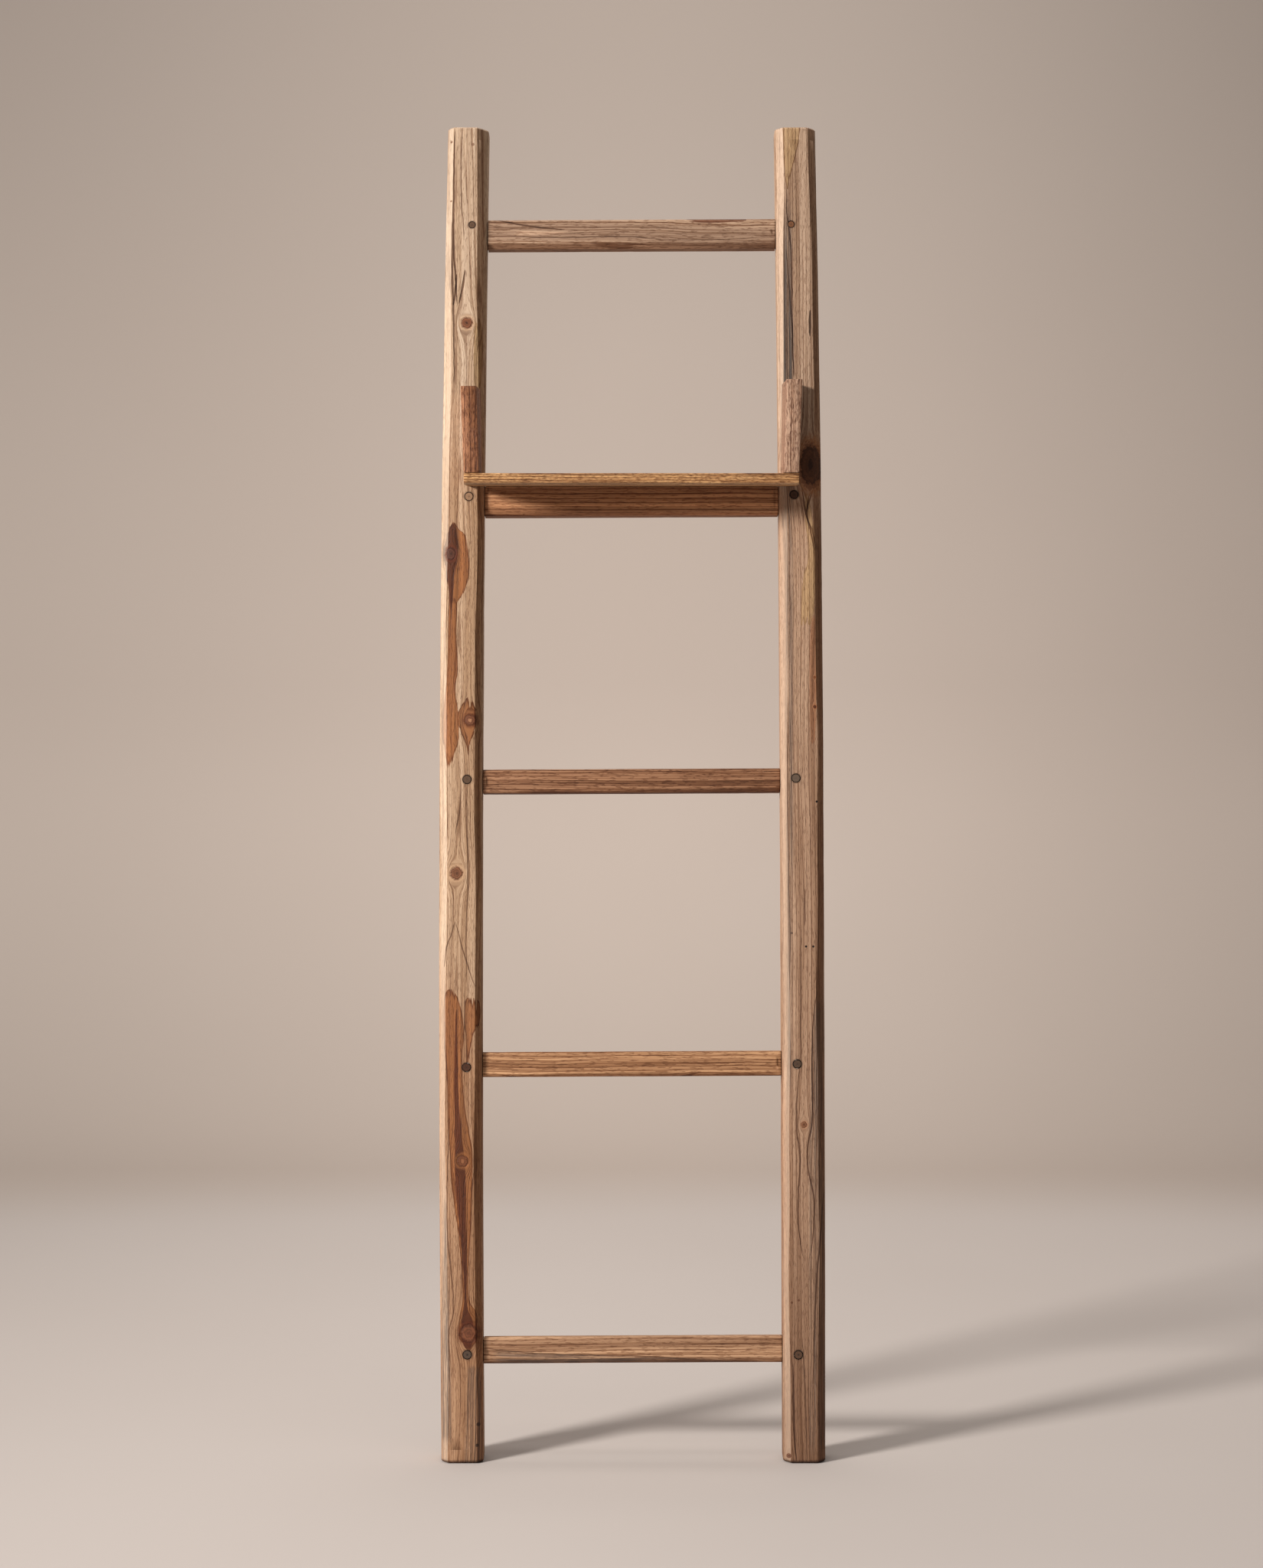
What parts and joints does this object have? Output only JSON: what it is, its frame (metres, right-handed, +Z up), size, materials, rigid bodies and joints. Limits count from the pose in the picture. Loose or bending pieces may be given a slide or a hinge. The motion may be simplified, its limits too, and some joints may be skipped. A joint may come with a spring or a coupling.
{
  "type": "leaning blanket ladder",
  "caption": "Leaning ladder of rough-hewn timber for hanging blankets and towels, with flat pegged rungs and a small open shelf near the top.",
  "frame": {"origin": "on the floor, under the middle of the leaning ladder's box", "axes": "+Z up, +X to the viewer's right across the ladder, +Y back towards the wall that it leans on; the rails lean back 10 degrees from upright"},
  "size_m": [0.516, 0.355, 1.7722],
  "materials": {
    "left_rail": "hewn reclaimed hardwood, pale golden tan, thin matt wax",
    "right_rail": "hewn reclaimed hardwood, pinkish grey-brown, thin matt wax",
    "rung_1": "pinkish brown, matt",
    "rung_2": "dark reddish brown, matt",
    "rung_3": "mid brown, matt",
    "rung_4": "warm light brown, matt",
    "rung_5": "grey-brown, matt",
    "shelf_board": "golden brown, matt",
    "left_cheek": "reddish brown, matt",
    "right_cheek": "light pinkish brown, mottled, matt",
    "peg": "dark end grain, matt",
    "screw": "dull zinc"
  },
  "bodies": {
    "root": {"left_rail": "left_rail", "right_rail": "right_rail", "rung_1": "rung_1", "rung_2": "rung_2", "rung_3": "rung_3", "rung_4": "rung_4", "rung_5": "rung_5", "shelf_board": "shelf_board", "left_cheek": "left_cheek", "right_cheek": "right_cheek", "peg_1_left": "peg", "peg_1_right": "peg", "peg_2_left": "peg", "peg_2_right": "peg", "peg_3_left": "peg", "peg_3_right": "peg", "peg_4_left": "peg", "peg_4_right": "peg", "peg_5_left": "peg", "peg_5_right": "peg", "left_rail_screw_1": "screw", "left_rail_screw_2": "screw", "right_rail_screw_1": "screw", "right_rail_screw_2": "screw", "left_board_screw_1": "screw", "left_board_screw_2": "screw", "right_board_screw_1": "screw", "right_board_screw_2": "screw", "seat_screw_left": "screw", "seat_screw_right": "screw"}
  },
  "joints": []
}
